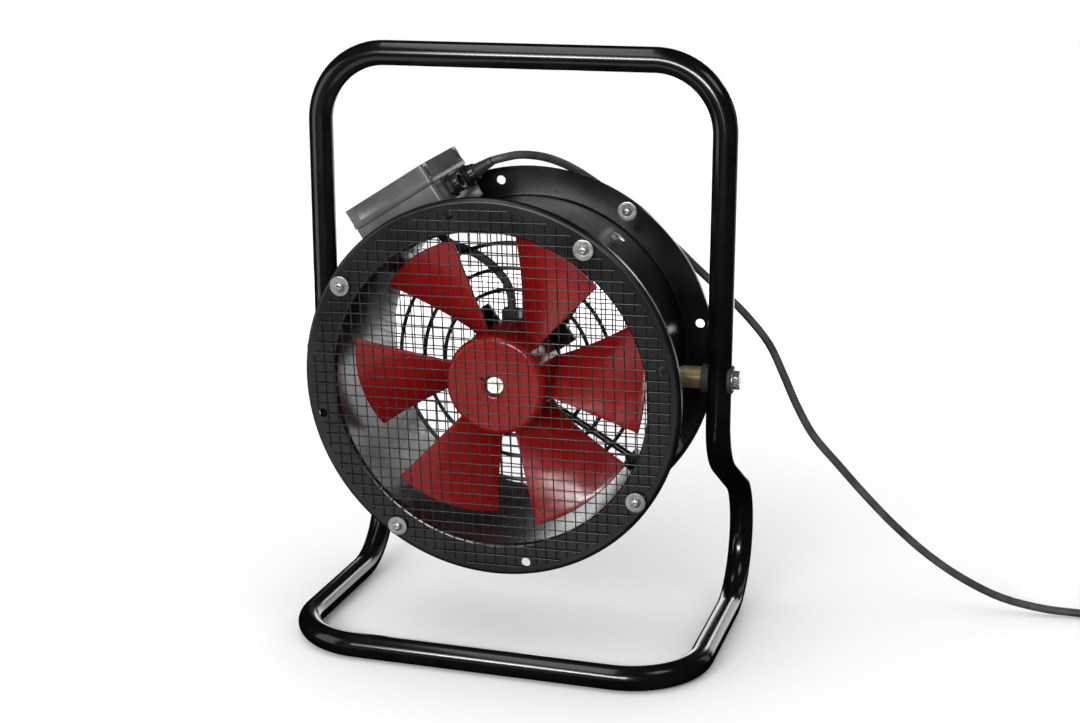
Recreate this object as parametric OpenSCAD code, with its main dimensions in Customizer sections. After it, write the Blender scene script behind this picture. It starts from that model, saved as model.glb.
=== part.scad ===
// Portable air mover: a short steel duct fan that tilts in a floor stand of bent tube.
// The origin is on the floor under the middle of the stand. +Z is up, the air leaves towards -Y,
// and +X is the right-hand side as seen by someone facing the outlet.

/* [Stand] */
// Outside diameter of the stand tube
tube_d = 25; // [22:0.5:28]
// Wall of the stand tube
tube_wall = 2; // [1.5:0.5:3]
// Width of the stand between tube centres
stand_w = 417; // [410:1:440]
// Height of the stand
stand_h = 607; // [580:1:660]
// Centreline bend radius of the two top corners
top_bend_r = 70; // [60:1:90]
// Centreline bend radius of the two front floor corners
floor_bend_r = 75; // [60:1:90]
// Centreline bend radius where an upright turns back into its leg
kink_r = 57.5; // [50:0.5:70]
// How far a leg slants back from the vertical, in degrees
kink_angle = 61; // [50:1:65]
// Height at which the upright's line meets the leg's line
kink_h = 204.2; // [190:0.1:215]
// Centreline bend radius behind, where a leg turns forward on to the floor
heel_r = 70; // [60:1:72]
// How far the front floor bar stands ahead of the uprights
front_reach = 126.4; // [120:0.1:150]

/* [Duct] */
// Height of the pivot axis above the floor
pivot_h = 285; // [275:1:300]
// Resting tilt of the outlet towards the floor, in degrees
tilt = 3; // [0:0.5:10]
// Inside diameter of the duct
duct_d = 317; // [314:1:318]
// Sheet thickness of the duct and its flanges
sheet = 2; // [1.5:0.5:2.5]
// Outside diameter of the two flanges
flange_d = 383; // [382:1:385]
// Bolt circle of the two flanges
bolt_circle = 356; // [354:1:358]
// Diameter of the flange holes
flange_hole_d = 9.5; // [9:0.5:10]
// Angle of the first flange hole, in degrees
hole_phase = 11.5; // [10:0.5:13]
// Outlet face ahead of the pivot axis
front_len = 97; // [92:1:100]
// Inlet face behind the pivot axis
rear_len = 69; // [66:1:75]
// Depth of the rim turned in round each flange
rim_depth = 8; // [6:1:10]

/* [Guards] */
// Pitch of the welded mesh
mesh_pitch = 10.6; // [10:0.1:12.7]
// Wire thickness of the mesh
mesh_wire = 1.2; // [1:0.1:1.6]
// Diameter to which the mesh is cut
mesh_d = 365; // [360:1:368]
// Turn of the front mesh about the duct axis, in degrees
mesh_turn = 1.3; // [0:0.1:3]
// Diameter of the penny washers that hold the mesh
penny_d = 20; // [18:1:22]

/* [Impeller] */
// Diameter over the blade tips
impeller_d = 298; // [290:1:304]
// Diameter of the hub
hub_d = 102; // [100:1:104]
// Front face of the hub ahead of the pivot axis
hub_front = 77; // [75:1:80]
// Length of the hub
hub_len = 63; // [62:1:64]
// Thickness of a blade
blade_t = 2.6; // [2:0.1:3.5]

/* [Terminal box] */
// Angle of the box round the duct, in degrees
box_angle = 122.2; // [118:0.1:126]
// Size of the box round the duct
box_w = 97; // [94:1:100]
// Size of the box along the duct
box_l = 100; // [98:1:102]
// Distance of the box floor from the duct axis
box_floor = 163.5; // [163:0.5:165]
// Distance of the lid's top from the duct axis
box_top = 221; // [219:1:223]

/* [Power cord] */
// Diameter of the power cord
cord_d = 8.5; // [8:0.1:9]
// Diameter of the cable from the box to the motor
cable_d = 9; // [8:0.5:9]

/* [Hidden] */
$fn = 48;

touch = 0.02;       // gap between pieces that lie against each other
run_gap = 0.05;     // radial gap of a shaft or bolt that turns in its hole
face_gap = 0.2;     // gap between faces that slide past each other

function hundredth(v) = round(v * 100) / 100;

// Stand: the uprights stand ahead of the middle so that the footprint is centred.
tube_r = tube_d / 2;
side_x = stand_w / 2;
kink_tangent = kink_r * tan(kink_angle / 2);
joint_h = kink_h + kink_tangent;
leg_top_h = kink_h - kink_tangent * cos(kink_angle);
leg_end_h = tube_r + heel_r * (1 + sin(kink_angle));
leg_len = (leg_top_h - leg_end_h) / cos(kink_angle);
leg_top_back = kink_tangent * sin(kink_angle);
heel_back = hundredth(leg_top_back + leg_len * sin(kink_angle) - heel_r * cos(kink_angle));
rear_reach = heel_back + heel_r;
upright_y = hundredth((front_reach - rear_reach) / 2);
front_y = upright_y - front_reach;

// Duct and flanges
duct_r = duct_d / 2;
skin_r = duct_r + sheet;
flange_r = flange_d / 2;
hole_r = bolt_circle / 2;
hole_count = 8;
press_r = 4;        // outside radius where the sheet is turned over
arc_steps = 5;

// Pivot stack along X, from the duct's skin out to the bolt head
bolt_r = 5;
collar_len = 10;
sleeve_r = 11;
inner_face = side_x - tube_r;
outer_face = side_x + tube_r;
rubber_r = 14;
rubber_t = 4.3;
sleeve_end = inner_face - rubber_t - face_gap;
washer_in = outer_face + 0.8;
washer_out = washer_in + 1.6;
bolt_head = 5.2;
bolt_hex_r = 17 / 2 / cos(30);

// Guard screws
screw_r = 2.5;
penny_t = 1.6;
mesh_depth = 2 * mesh_wire + 2 * touch;
first_screw = hole_phase + 45;

// Motor and its support, along the duct axis
foot_phase = 52.3;
ear_phase = 35;
foot_in = 147;
foot_out = 157.9;
arm_r = 3.5;
plate_z = [-2, 2];
arm_z = plate_z[0] - arm_r - touch;
ring_wire = 4;
ring_radii = [78, 100, 126];
shaft_r = 5;
bearing_r = 13;
core_z = [21, 55];
can_r = 47;
can_z = [15, 73];
hub_r = hub_d / 2;
hub_wall = 3.8;
hub_round = 6;
hub_back = hub_front - hub_len;

// Blades: angles and axial places of the leading (front) and trailing (rear) edges
blade_count = 6;
lead_angle = -14.3;
root_span = 34;
tip_span = 40;
lead_z = [55, 75];
trail_z = [12, 38];
blade_camber = 5;
blade_rings = 6;
blade_steps = 8;

// Terminal box
box_mid = 5;
box_wall = 3;
box_split = 199;
gasket_t = 1.2;
lid_low = box_split + gasket_t;
lid_step = 205;
box_post = [43.9, 42.75];
gland_n = 188;
gland_z = [22, -25];
gland_hex_r = 11.8;
dome_end = box_w / 2 + 13.5;
boot_end = dome_end + 20;
cable_z = -8;

// Cord route in the row frame; the split lies where the cord leaves the tilting duct's reach.
upper_route = [[-30.5, 5, 489], [-20, 7, 492], [-6, 19, 494], [9, 41, 490], [22, 63, 482],
    [36, 88, 469], [58, 108, 449], [90, 118, 423], [124, 117, 398], [154, 110, 374],
    [172, 106, 360], [188, 105, 347]];
lower_route = [[188, 105, 347], [213, 105, 324], [237, 107, 295], [253, 110, 262], [267, 115, 229],
    [285, 120, 196], [312, 126, 164], [340, 132, 132], [372, 140, 98], [408, 150, 65],
    [446, 160, 38], [486, 169, 18], [528, 176, 8], [562, 180, 5.5], [600, 180, 5.5], [640, 180, 5.5]];
coil_at = [640, 229.25];
coil_r = 45;
coil_lift = 1.2;

function unit(v) = v / norm(v);
function arc_points(centre, r, from, to) =
    [for (i = [0:arc_steps]) let (a = from + (to - from) * i / arc_steps) centre + r * [cos(a), sin(a)]];
// Catmull-Rom point between b and c
function spline(a, b, c, d, t) =
    0.5 * (2 * b + (c - a) * t + (2 * a - 5 * b + 4 * c - d) * t * t + (3 * b - a - 3 * c + d) * t * t * t);
function fine(route, steps) = let (n = len(route) - 1)
    [for (i = [0:n - 1], k = [0:steps - 1])
        spline(route[max(i - 1, 0)], route[i], route[i + 1], route[min(i + 2, n)], k / steps), route[n]];
function tangents(path) = let (n = len(path) - 1)
    [for (i = [0:n]) unit(path[min(i + 1, n)] - path[max(i - 1, 0)])];
function tube_points(path, along, r, sides, side_ref) =
    [for (i = [0:len(path) - 1]) let (u = unit(cross(along[i], side_ref)), v = cross(u, along[i]))
        for (k = [0:sides - 1]) path[i] + r * (cos(360 * k / sides) * u + sin(360 * k / sides) * v)];
function skin_faces(rings, sides) =
    [for (i = [0:rings - 2], k = [0:sides - 1]) let (a = i * sides + k, b = i * sides + (k + 1) % sides)
        each [[a, a + sides, b], [b, a + sides, b + sides]]];
function tube_faces(rings, sides) = concat(skin_faces(rings, sides),
    [[for (k = [0:sides - 1]) k]], [[for (k = [sides - 1:-1:0]) (rings - 1) * sides + k]]);

// A round tube along a route; first and last say which way its end faces look.
module swept(route, r, side_ref, first, last, steps = 2, sides = 10) {
    path = fine(route, steps);
    n = len(path) - 1;
    mid = tangents(path);
    along = [for (i = [0:n]) i == 0 ? first : (i == n ? last : mid[i])];
    polyhedron(tube_points(path, along, r, sides, side_ref), tube_faces(n + 1, sides), convexity = 10);
}

// Frames: duct (X across, Y up, Z to the outlet), box (X round the duct, Y outwards, Z to the outlet)
// and stack (X round the duct, Y to the inlet, Z outwards).
module in_duct() translate([0, upright_y, pivot_h]) rotate([90 + tilt, 0, 0]) children();
module in_box() in_duct() rotate([0, 0, box_angle - 90]) children();
module in_stack() in_box() rotate([-90, 0, 0]) translate([0, -box_mid, 0]) children();
module at_pivot() translate([0, upright_y, pivot_h]) children();
module both_sides() {
    children();
    mirror([1, 0, 0]) children();
}
module round_axis(count, phase) for (i = [0:count - 1]) rotate([0, 0, phase + i * 360 / count]) children();
module along_x(from, to, r) translate([from, 0, 0]) rotate([0, 90, 0]) cylinder(r = r, h = to - from);
module along_z(from, to, r) translate([0, 0, from]) cylinder(r = r, h = to - from);
module hex_x(from, to, r) translate([from, 0, 0]) rotate([0, 90, 0]) cylinder(r = r, h = to - from, $fn = 6);
module rod(p, q, r) {
    d = q - p;
    translate(p) rotate([0, acos(d[2] / norm(d)), atan2(d[1], d[0])]) cylinder(r = r, h = norm(d));
}
module rounded_rect(w, l, r) {
    square([w - 2 * r, l], center = true);
    square([w, l - 2 * r], center = true);
    for (x = [-1, 1], y = [-1, 1]) translate([x * (w / 2 - r), y * (l / 2 - r)]) circle(r = r);
}

// ---- Stand ----
// Straight tube along Z, hollow
module tube_run(len_z) difference() {
    cylinder(d = tube_d, h = len_z);
    translate([0, 0, -1]) cylinder(r = tube_r - tube_wall, h = len_z + 2);
}
// Bent tube: an arc about Z that starts on +X and turns towards +Y
module tube_bend(r, turn) rotate_extrude(angle = turn) translate([r, 0]) difference() {
    circle(d = tube_d);
    circle(r = tube_r - tube_wall);
}
module stand_hoop() color("#1c1c1d") difference() {
    union() {
        both_sides() {
            translate([side_x, upright_y, joint_h]) tube_run(stand_h - tube_r - top_bend_r - joint_h);
            translate([side_x - top_bend_r, upright_y, stand_h - tube_r - top_bend_r])
                rotate([90, 0, 0]) tube_bend(top_bend_r, 90);
        }
        translate([-(side_x - top_bend_r), upright_y, stand_h - tube_r])
            rotate([0, 90, 0]) tube_run(2 * (side_x - top_bend_r));
    }
    at_pivot() along_x(-outer_face - 1, outer_face + 1, bolt_r + run_gap);
}
// One side of the stand: X towards the back, Y up
module in_side() translate([side_x, 0, 0]) rotate([90, 0, 90]) children();
module stand_legs() color("#1c1c1d") both_sides() {
    in_side() translate([upright_y + kink_r, joint_h, 0]) rotate([0, 0, 180]) tube_bend(kink_r, kink_angle);
    translate([side_x, upright_y + leg_top_back, leg_top_h])
        rotate([180 + kink_angle, 0, 0]) translate([0, 0, touch]) tube_run(leg_len - 2 * touch);
}
module stand_heels() color("#1c1c1d") both_sides()
    in_side() translate([upright_y + heel_back, tube_r + heel_r, 0])
        rotate([0, 0, -90]) tube_bend(heel_r, 90 + kink_angle);
module stand_base() color("#1c1c1d") {
    both_sides() {
        translate([side_x, front_y + floor_bend_r, tube_r])
            rotate([-90, 0, 0]) tube_run(heel_back + front_reach - floor_bend_r);
        translate([side_x - floor_bend_r, front_y + floor_bend_r, tube_r])
            rotate([0, 0, -90]) tube_bend(floor_bend_r, 90);
    }
    translate([-(side_x - floor_bend_r), front_y, tube_r])
        rotate([0, 90, 0]) tube_run(2 * (side_x - floor_bend_r));
}
// Plugs inside the tube that join the hoop to the base
module tube_spigots() color("silver") both_sides()
    translate([side_x, upright_y, joint_h - 2]) cylinder(r = tube_r - tube_wall - touch, h = 34);

// ---- Pivots ----
module pivot_bolts() color("silver") at_pivot() both_sides() {
    along_x(148, washer_out + face_gap, bolt_r);
    hex_x(washer_out + face_gap, washer_out + face_gap + bolt_head, bolt_hex_r);
}
module pivot_nuts() color("silver") at_pivot() both_sides() difference() {
    hex_x(149.5, foot_out, bolt_hex_r);
    along_x(140, 170, bolt_r);
}
module pivot_collars() color("silver") at_pivot() both_sides() difference() {
    along_x(skin_r - 1, skin_r + collar_len, 9.5);
    along_x(skin_r - 5, skin_r + 20, bolt_r);
    rotate([90 + tilt, 0, 0]) translate([0, 0, -30]) cylinder(r = skin_r + touch, h = 60, $fn = 240);
}
module pivot_sleeves() color("#9a8560") at_pivot() both_sides() difference() {
    along_x(skin_r + collar_len + touch, sleeve_end, sleeve_r);
    along_x(skin_r, inner_face, bolt_r + touch);
}
module saddle_washer(from, to) at_pivot() both_sides() difference() {
    along_x(from, to, rubber_r);
    along_x(from - 1, to + 1, bolt_r + run_gap);
    translate([side_x, 0, -30]) cylinder(r = tube_r + touch, h = 60);
}
module rubber_washers() color("#141414") {
    saddle_washer(inner_face - rubber_t, inner_face + 3);
    saddle_washer(outer_face - 3, washer_in - touch);
}
module pivot_washers() color("silver") at_pivot() both_sides() difference() {
    along_x(washer_in, washer_out, 12);
    along_x(washer_in - 1, washer_out + 1, bolt_r + run_gap);
}

// ---- Duct ----
// Half profile of the spun sheet at one end: round the inner bend, out along the flange and back as the rim
function flange_profile(face) = concat(
    arc_points([duct_r + press_r, face - press_r], press_r, 180, 90),
    arc_points([flange_r - press_r, face - press_r], press_r, 90, 0),
    [[flange_r, face - rim_depth], [flange_r - sheet, face - rim_depth]],
    arc_points([flange_r - press_r, face - press_r], press_r - sheet, 0, 90),
    arc_points([duct_r + press_r, face - press_r], press_r - sheet, 90, 180));
module flange(face) difference() {
    rotate_extrude($fn = 96) polygon(flange_profile(face));
    round_axis(hole_count / 2, hole_phase) translate([hole_r, 0, 0]) along_z(face - 10, face + 5, flange_hole_d / 2);
    round_axis(hole_count / 2, first_screw) translate([hole_r, 0, 0]) along_z(face - 10, face + 5, screw_r + 0.3);
}
module duct() color("#202021") in_duct() difference() {
    translate([0, 0, -rear_len + press_r + touch])
        cylinder(r = skin_r, h = front_len + rear_len - 2 * press_r - 2 * touch, $fn = 96);
    translate([0, 0, -rear_len]) cylinder(r = duct_r, h = front_len + rear_len, $fn = 96);
    round_axis(4, foot_phase) along_x(140, 170, 4.2);
    round_axis(2, 0) along_x(140, 170, bolt_r + 0.5);
    rotate([0, 0, box_angle]) translate([0, 0, cable_z]) along_x(140, 170, 8);
}
module front_flange() color("#202021") in_duct() flange(front_len);
module rear_flange() color("#202021") in_duct() mirror([0, 0, 1]) flange(rear_len);
module blank_label() color("#2b2b2d") in_duct() rotate([0, 0, 24])
    rotate_extrude(angle = 20) translate([skin_r + touch, 22]) square([0.3, 34]);

// ---- Guards ----
module mesh_disc(turn) rotate([0, 0, turn]) difference() {
    n = floor(mesh_d / 2 / mesh_pitch);
    for (i = [-n:n], layer = [0, 1]) let (chord = 2 * sqrt(pow(mesh_d / 2, 2) - pow(i * mesh_pitch, 2)))
        rotate([0, 0, 90 * layer])
            translate([i * mesh_pitch, 0, touch + mesh_wire / 2 + layer * (mesh_wire + touch)])
                rotate([90, 0, 0]) cylinder(d = mesh_wire, h = chord, center = true, $fn = 16);
    rotate([0, 0, -turn]) round_axis(hole_count, hole_phase) translate([hole_r, 0, 0]) along_z(-5, 5, 6);
}
module front_guard() color("#161617") in_duct() translate([0, 0, front_len]) mesh_disc(mesh_turn);
module rear_guard() color("#161617") in_duct() translate([0, 0, -rear_len]) mirror([0, 0, 1]) mesh_disc(0);
module at_guard_screws() in_duct() round_axis(4, first_screw) translate([hole_r, 0, 0]) children();
module washer(from, to, r) difference() {
    along_z(from, to, r);
    along_z(from - 1, to + 1, screw_r + touch);
}
module guard_screw(under_head, tip) {
    along_z(min(under_head, tip), max(under_head, tip), screw_r);
    intersection() {
        translate([0, 0, under_head - 2.2]) sphere(r = 5.4);
        along_z(under_head, under_head + 3.2, 4.8);
    }
}
module guard_nut(from, to) difference() {
    translate([0, 0, from]) cylinder(r = 8 / 2 / cos(30), h = to - from, $fn = 6);
    along_z(from - 1, to + 1, screw_r + touch);
}
module guard_washers() color("#b9b9b4") at_guard_screws() {
    washer(front_len + mesh_depth + touch, front_len + mesh_depth + penny_t, penny_d / 2);
    washer(front_len - sheet - 1.3, front_len - sheet - touch, 8);
    washer(-rear_len + sheet + touch, -rear_len + sheet + penny_t, penny_d / 2);
    washer(-rear_len - mesh_depth - penny_t, -rear_len - mesh_depth - touch, penny_d / 2);
}
module guard_screws() color("#a8a8a6") at_guard_screws() {
    guard_screw(front_len + mesh_depth + penny_t + touch, front_len - 12);
    guard_screw(-rear_len + sheet + penny_t + touch, -rear_len - 11);
}
module guard_nuts() color("#a8a8a6") at_guard_screws() {
    guard_nut(front_len - sheet - 5.5, front_len - sheet - 1.3 - touch);
    guard_nut(-rear_len - mesh_depth - penny_t - 4.2, -rear_len - mesh_depth - penny_t - touch);
}

// ---- Motor support ----
module foot_block(grow = 0) translate([foot_in - grow, -8, -12]) cube([foot_out - foot_in + grow, 16, 20]);
module support_feet() color("#19191a") in_duct() round_axis(4, foot_phase) difference() {
    foot_block();
    along_x(140, 170, 4 + touch);
}
// Bolt, its nut inside the head-side stack: the shank shows between the skin and the hexagon.
module support_bolts() color("#c9c9c4") in_duct() round_axis(4, foot_phase) {
    along_x(foot_in + 1, skin_r + 8.5, 4);
    hex_x(skin_r + 8.5, skin_r + 14, 13 / 2 / cos(30));
}
function polar(r, a, z) = [r * cos(a), r * sin(a), z];
module support_arms() color("#19191a") in_duct() for (i = [0:3]) difference() {
    rod(polar(46, ear_phase + 90 * i, arm_z), polar(152, foot_phase + 90 * i, arm_z), arm_r);
    rotate([0, 0, foot_phase + 90 * i]) translate([foot_in - touch, -20, -20]) cube([30, 40, 40]);
}
module support_rings() color("#19191a") in_duct() for (r = ring_radii)
    translate([0, 0, arm_z + arm_r + ring_wire / 2 + touch]) rotate_extrude($fn = 96) translate([r, 0]) circle(d = ring_wire, $fn = 24);
module motor_plate() color("#222223") in_duct() difference() {
    union() {
        along_z(plate_z[0], plate_z[1], 48);
        round_axis(4, ear_phase) translate([30, -11, plate_z[0]]) cube([38, 22, plate_z[1] - plate_z[0]]);
    }
    round_axis(4, ear_phase + 45) translate([36, 0, 0]) along_z(-9, 9, screw_r + 0.2);
}
module motor_cable_clamp() color("#151515") in_duct() difference() {
    translate([-16.5, 36, -15]) cube([18, 19, 15 + plate_z[0] - touch]);
    translate([-7.5, 30, cable_z]) rotate([-90, 0, 0]) cylinder(r = 2.5, h = 30);
}

// ---- Motor ----
module motor_base() color("#3a3a3c") in_duct() difference() {
    union() {
        along_z(plate_z[1] + touch, 12, 46);
        along_z(12, 60, 16);
    }
    along_z(5, 61, bearing_r);
    round_axis(4, ear_phase + 45) translate([36, 0, 0]) along_z(0, 10, screw_r + touch);
}
module motor_screws() color("#8f8f8f") in_duct() round_axis(4, ear_phase + 45) translate([36, 0, 0]) {
    along_z(plate_z[0] - 3.5, plate_z[0] - touch, 4.3);
    along_z(plate_z[0] - 1, 9, screw_r);
}
module stator_core() color("#6d6f72") in_duct() difference() {
    along_z(core_z[0], core_z[1], 38);
    along_z(core_z[0] - 1, core_z[1] + 1, 16 + touch);
    round_axis(24, 0) translate([33, -1, core_z[0] - 1]) cube([8, 2, core_z[1] - core_z[0] + 2]);
}
module winding_end(mid_z) translate([0, 0, mid_z]) rotate_extrude() translate([28, 0]) circle(r = 2.9);
module stator_windings() color("#b06a35") in_duct() {
    winding_end(core_z[0] - 3);
    winding_end(core_z[1] + 3);
}
module bearings() color("silver") in_duct() for (z = [14, 50]) difference() {
    along_z(z, z + 9, bearing_r - touch);
    along_z(z - 1, z + 10, shaft_r + run_gap);
}
module rotor_shaft() color("#d8d4c4") in_duct() {
    along_z(7, 78, shaft_r);
    along_z(78, 79, shaft_r - 1);
}
module rotor_can() color("#5a3233") in_duct() rotate_extrude() polygon([[shaft_r + touch, can_z[1]],
    [can_r, can_z[1]], [can_r, can_z[0]], [44.5, can_z[0]], [44.5, can_z[1] - 3],
    [9, can_z[1] - 3], [9, 62], [shaft_r + touch, 62]]);
module rotor_ring() color("#77797c") in_duct() difference() {
    along_z(core_z[0], core_z[1], 44.5 - touch);
    along_z(core_z[0] - 1, core_z[1] + 1, 38.6);
}
module shaft_ring() color("#e2dfd2") in_duct() difference() {
    along_z(can_z[1] + touch, can_z[1] + 1.4, 8.6);
    along_z(can_z[1] - 1, can_z[1] + 3, shaft_r + touch);
}

// ---- Impeller ----
module impeller_hub() color("#a3262b") in_duct() difference() {
    rotate_extrude() polygon(concat([[10.7, hub_front]],
        arc_points([hub_r - hub_round, hub_front - hub_round], hub_round, 90, 0),
        [[hub_r - 0.6, hub_back], [can_r + 0.2, hub_back], [can_r + 0.2, can_z[1] + touch], [10.7, can_z[1] + touch]]));
    rotate([0, 0, 150]) translate([9, -1.4, hub_front - 10]) cube([5.5, 2.8, 12]);
}
function mix(range, s) = range[0] + (range[1] - range[0]) * s;
// A point of the blade: s from root to tip, u from leading to trailing edge, w across its thickness
function blade_point(s, u, w) = let (
    r = hub_r - 1.2 + (impeller_d / 2 - hub_r + 1.2) * s,
    span = root_span + (tip_span - root_span) * s,
    run = span * PI / 180 * r,
    drop = mix(trail_z, s) - mix(lead_z, s),
    chord = norm([run, drop]),
    lift = w * (1.15 - 0.35 * s) + blade_camber * (4 * u * (1 - u) - 0.35),
    a = lead_angle + span * u - lift * drop / chord / r * 180 / PI)
    [r * cos(a), r * sin(a), mix(lead_z, s) + drop * u + lift * run / chord];
// Closed outline of the blade at one radius: along the front side, then back along the rear side
function blade_outline(s) = concat(
    [for (k = [0:blade_steps]) blade_point(s, k / blade_steps, blade_half(k))],
    [for (k = [blade_steps:-1:0]) blade_point(s, k / blade_steps, -blade_half(k))]);
function blade_half(k) = blade_t / 2 * (k == 0 || k == blade_steps ? 0.4 : 1);
function blade_end(base, flip) = let (last = 2 * blade_steps + 1) [for (k = [0:blade_steps - 1]) each flip
    ? [[base + k + 1, base + k, base + last - k], [base + last - k, base + last - k - 1, base + k + 1]]
    : [[base + k, base + k + 1, base + last - k], [base + last - k - 1, base + last - k, base + k + 1]]];
module blade(number) color("#a3262b") in_duct() rotate([0, 0, 60 * (number - 1)]) {
    sides = 2 * blade_steps + 2;
    polyhedron([for (i = [0:blade_rings]) each blade_outline(i / blade_rings)],
        concat(skin_faces(blade_rings + 1, sides), blade_end(0, false), blade_end(blade_rings * sides, true)),
        convexity = 6);
}

// ---- Terminal box ----
module box_saddle() color("#19191a") difference() {
    in_stack() difference() {
        translate([-35, -40, 150]) cube([70, 80, box_floor - touch - 150]);
        translate([-33, -45, 140]) cube([66, 90, box_floor - 2 - 140]);
        translate([0, box_mid - cable_z, 150]) cylinder(r = 9, h = 20);
        for (x = [-25, 25], y = [-28, 28]) translate([x, y, 150]) cylinder(r = screw_r + 0.1, h = 20);
    }
    in_duct() translate([0, 0, -90]) cylinder(r = skin_r + touch, h = 180, $fn = 240);
}
module box_screws() color("silver") in_stack() for (x = [-25, 25], y = [-28, 28]) translate([x, y, 0]) {
    along_z(box_floor - 3.5, box_floor + box_wall + 1, screw_r);
    along_z(box_floor + box_wall + touch, box_floor + box_wall + 2.5, 4.5);
}
module box_base() color("#38393b") in_stack() difference() {
    union() {
        difference() {
            translate([0, 0, box_floor]) linear_extrude(box_split - box_floor) rounded_rect(box_w, box_l, 4.2);
            translate([0, 0, box_floor + box_wall]) linear_extrude(60) rounded_rect(box_w - 2 * box_wall, box_l - 2 * box_wall, 4);
        }
        for (x = [-1, 1], y = [-1, 1]) translate([x * box_post[0], y * box_post[1], box_floor + 1])
            cylinder(r = 4, h = box_split - box_floor - 1);
    }
    for (x = [-1, 1], y = [-1, 1]) translate([x * box_post[0], y * box_post[1], 185]) cylinder(r = 1.75, h = 20);
    for (z = gland_z) translate([0, box_mid - z, gland_n]) along_x(40, 60, 8);
    translate([0, box_mid - cable_z, 150]) cylinder(r = 6, h = 30);
    for (x = [-25, 25], y = [-28, 28]) translate([x, y, 150]) cylinder(r = screw_r + 0.1, h = 30);
}
module box_gasket() color("#111111") in_stack() difference() {
    translate([0, 0, box_split + touch]) linear_extrude(gasket_t - 2 * touch) difference() {
        rounded_rect(box_w - 1, box_l - 1, 4);
        rounded_rect(box_w - 5, box_l - 5, 2);
    }
    for (x = [-1, 1], y = [-1, 1]) translate([x * box_post[0], y * box_post[1], 190]) cylinder(r = 2, h = 20);
}
// Pockets for the lid screws, open towards the two ends of the box
module lid_notches(n, across) for (x = [-1, 1], y = [-1, 1])
    translate([x * box_w / 2, y * box_post[1]]) rounded_rect(2 * n, across, 1.5);
module box_lid() color("#3f4043") in_stack() difference() {
    union() {
        translate([0, 0, lid_low]) linear_extrude(lid_step - lid_low) rounded_rect(box_w + 1.5, box_l + 1.5, 4.5);
        translate([0, 0, lid_step - 1]) linear_extrude(box_top - lid_step + 1) difference() {
            rounded_rect(box_w, box_l, 3);
            lid_notches(8.5, 8.5);
        }
    }
    translate([0, 0, lid_low - 1]) linear_extrude(box_top - 2.5 - lid_low + 1) difference() {
        rounded_rect(box_w - 6, box_l - 6, 2);
        lid_notches(11, 13.5);
    }
    // shallow panels let into the two sides that face along the duct
    for (y = [-1, 1]) translate([-38, y * box_l / 2 - 0.8, lid_step + 1]) cube([76, 1.6, 13.5]);
    for (x = [-1, 1], y = [-1, 1]) translate([x * box_post[0], y * box_post[1], 190]) cylinder(r = 1.9, h = 20);
}
module lid_screws() color("silver") in_stack() for (x = [-1, 1], y = [-1, 1])
    translate([x * box_post[0], y * box_post[1], 0]) {
        along_z(186, lid_step + 1, 1.7);
        along_z(lid_step + touch, lid_step + 3, 3.3);
    }
module terminal_block() color("#e9e6da") in_stack() difference() {
    translate([12, -22, box_floor + box_wall + touch]) cube([18, 40, 15]);
    for (i = [0:4]) translate([21, -18 + 8 * i, box_floor + 12]) cylinder(r = 2.2, h = 20);
}
module capacitor() color("#d9d9d6") in_stack()
    translate([-24, -28, box_floor + box_wall + 17]) rotate([-90, 0, 0]) cylinder(r = 14, h = 48);
module at_glands() in_stack() for (z = gland_z) translate([0, box_mid - z, gland_n]) children();
// The front gland is spare, with its mouth open; the rear one closes on the cord.
module cable_glands() color("#101010") in_stack() for (i = [0, 1]) translate([0, box_mid - gland_z[i], gland_n])
    difference() {
        union() {
            along_x(40, box_w / 2 + touch, 7.9);
            hex_x(box_w / 2 + touch, box_w / 2 + 6, gland_hex_r);
            translate([box_w / 2 + 6, 0, 0]) rotate([0, 90, 0])
                cylinder(r1 = 10, r2 = i == 0 ? 9.6 : 8.4, h = dome_end - box_w / 2 - 6);
        }
        along_x(30, dome_end + 1, cord_d / 2 + 0.6);
        if (i == 0) along_x(box_w / 2 + 4, dome_end + 1, 6.4);
    }
module gland_nuts() color("#101010") at_glands() difference() {
    hex_x(41, box_w / 2 - box_wall - touch, 9.4);
    along_x(35, 50, 7.9 + touch);
}
module cable_grommet() color("#0e0e0e") in_duct() rotate([0, 0, box_angle]) translate([0, 0, cable_z]) difference() {
    union() {
        along_x(155.2, 161.2, 7.9);
        along_x(155.2, 157.8, 10);
    }
    along_x(150, 170, cable_d / 2 + touch);
}
function along_box(n) = [n * cos(box_angle), n * sin(box_angle), cable_z];
module motor_cable() color("#121212") in_duct() swept(concat(
    [along_box(178), along_box(166), along_box(154), along_box(147)],
    [[-70, 119, cable_z], [-60, 116, cable_z], [-48, 112, cable_z], [-35, 105, cable_z], [-23, 95, cable_z],
     [-13, 83, cable_z], [-8.5, 71, cable_z], [-7.5, 61, cable_z], [-7.5, 55.1, cable_z]]),
    cable_d / 2, [0, 0, 1], [cos(box_angle + 180), sin(box_angle + 180), 0], [0, -1, 0]);
module cord_boot() color("#101010") in_stack() translate([0, box_mid - gland_z[1], gland_n])
    translate([dome_end + touch, 0, 0]) rotate([0, 90, 0]) cylinder(r1 = 7, r2 = cord_d / 2 + 0.5, h = boot_end - dome_end);

// ---- Power cord ----
module cord_upper() color("#161617") swept(upper_route, cord_d / 2, [0, 1, 0],
    unit([0.846, -0.028, 0.532]), [1, 0, 0]);
module cord_lower() color("#161617") swept(lower_route, cord_d / 2, [0, 1, 0], [1, 0, 0], [1, 0, 0]);
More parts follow.
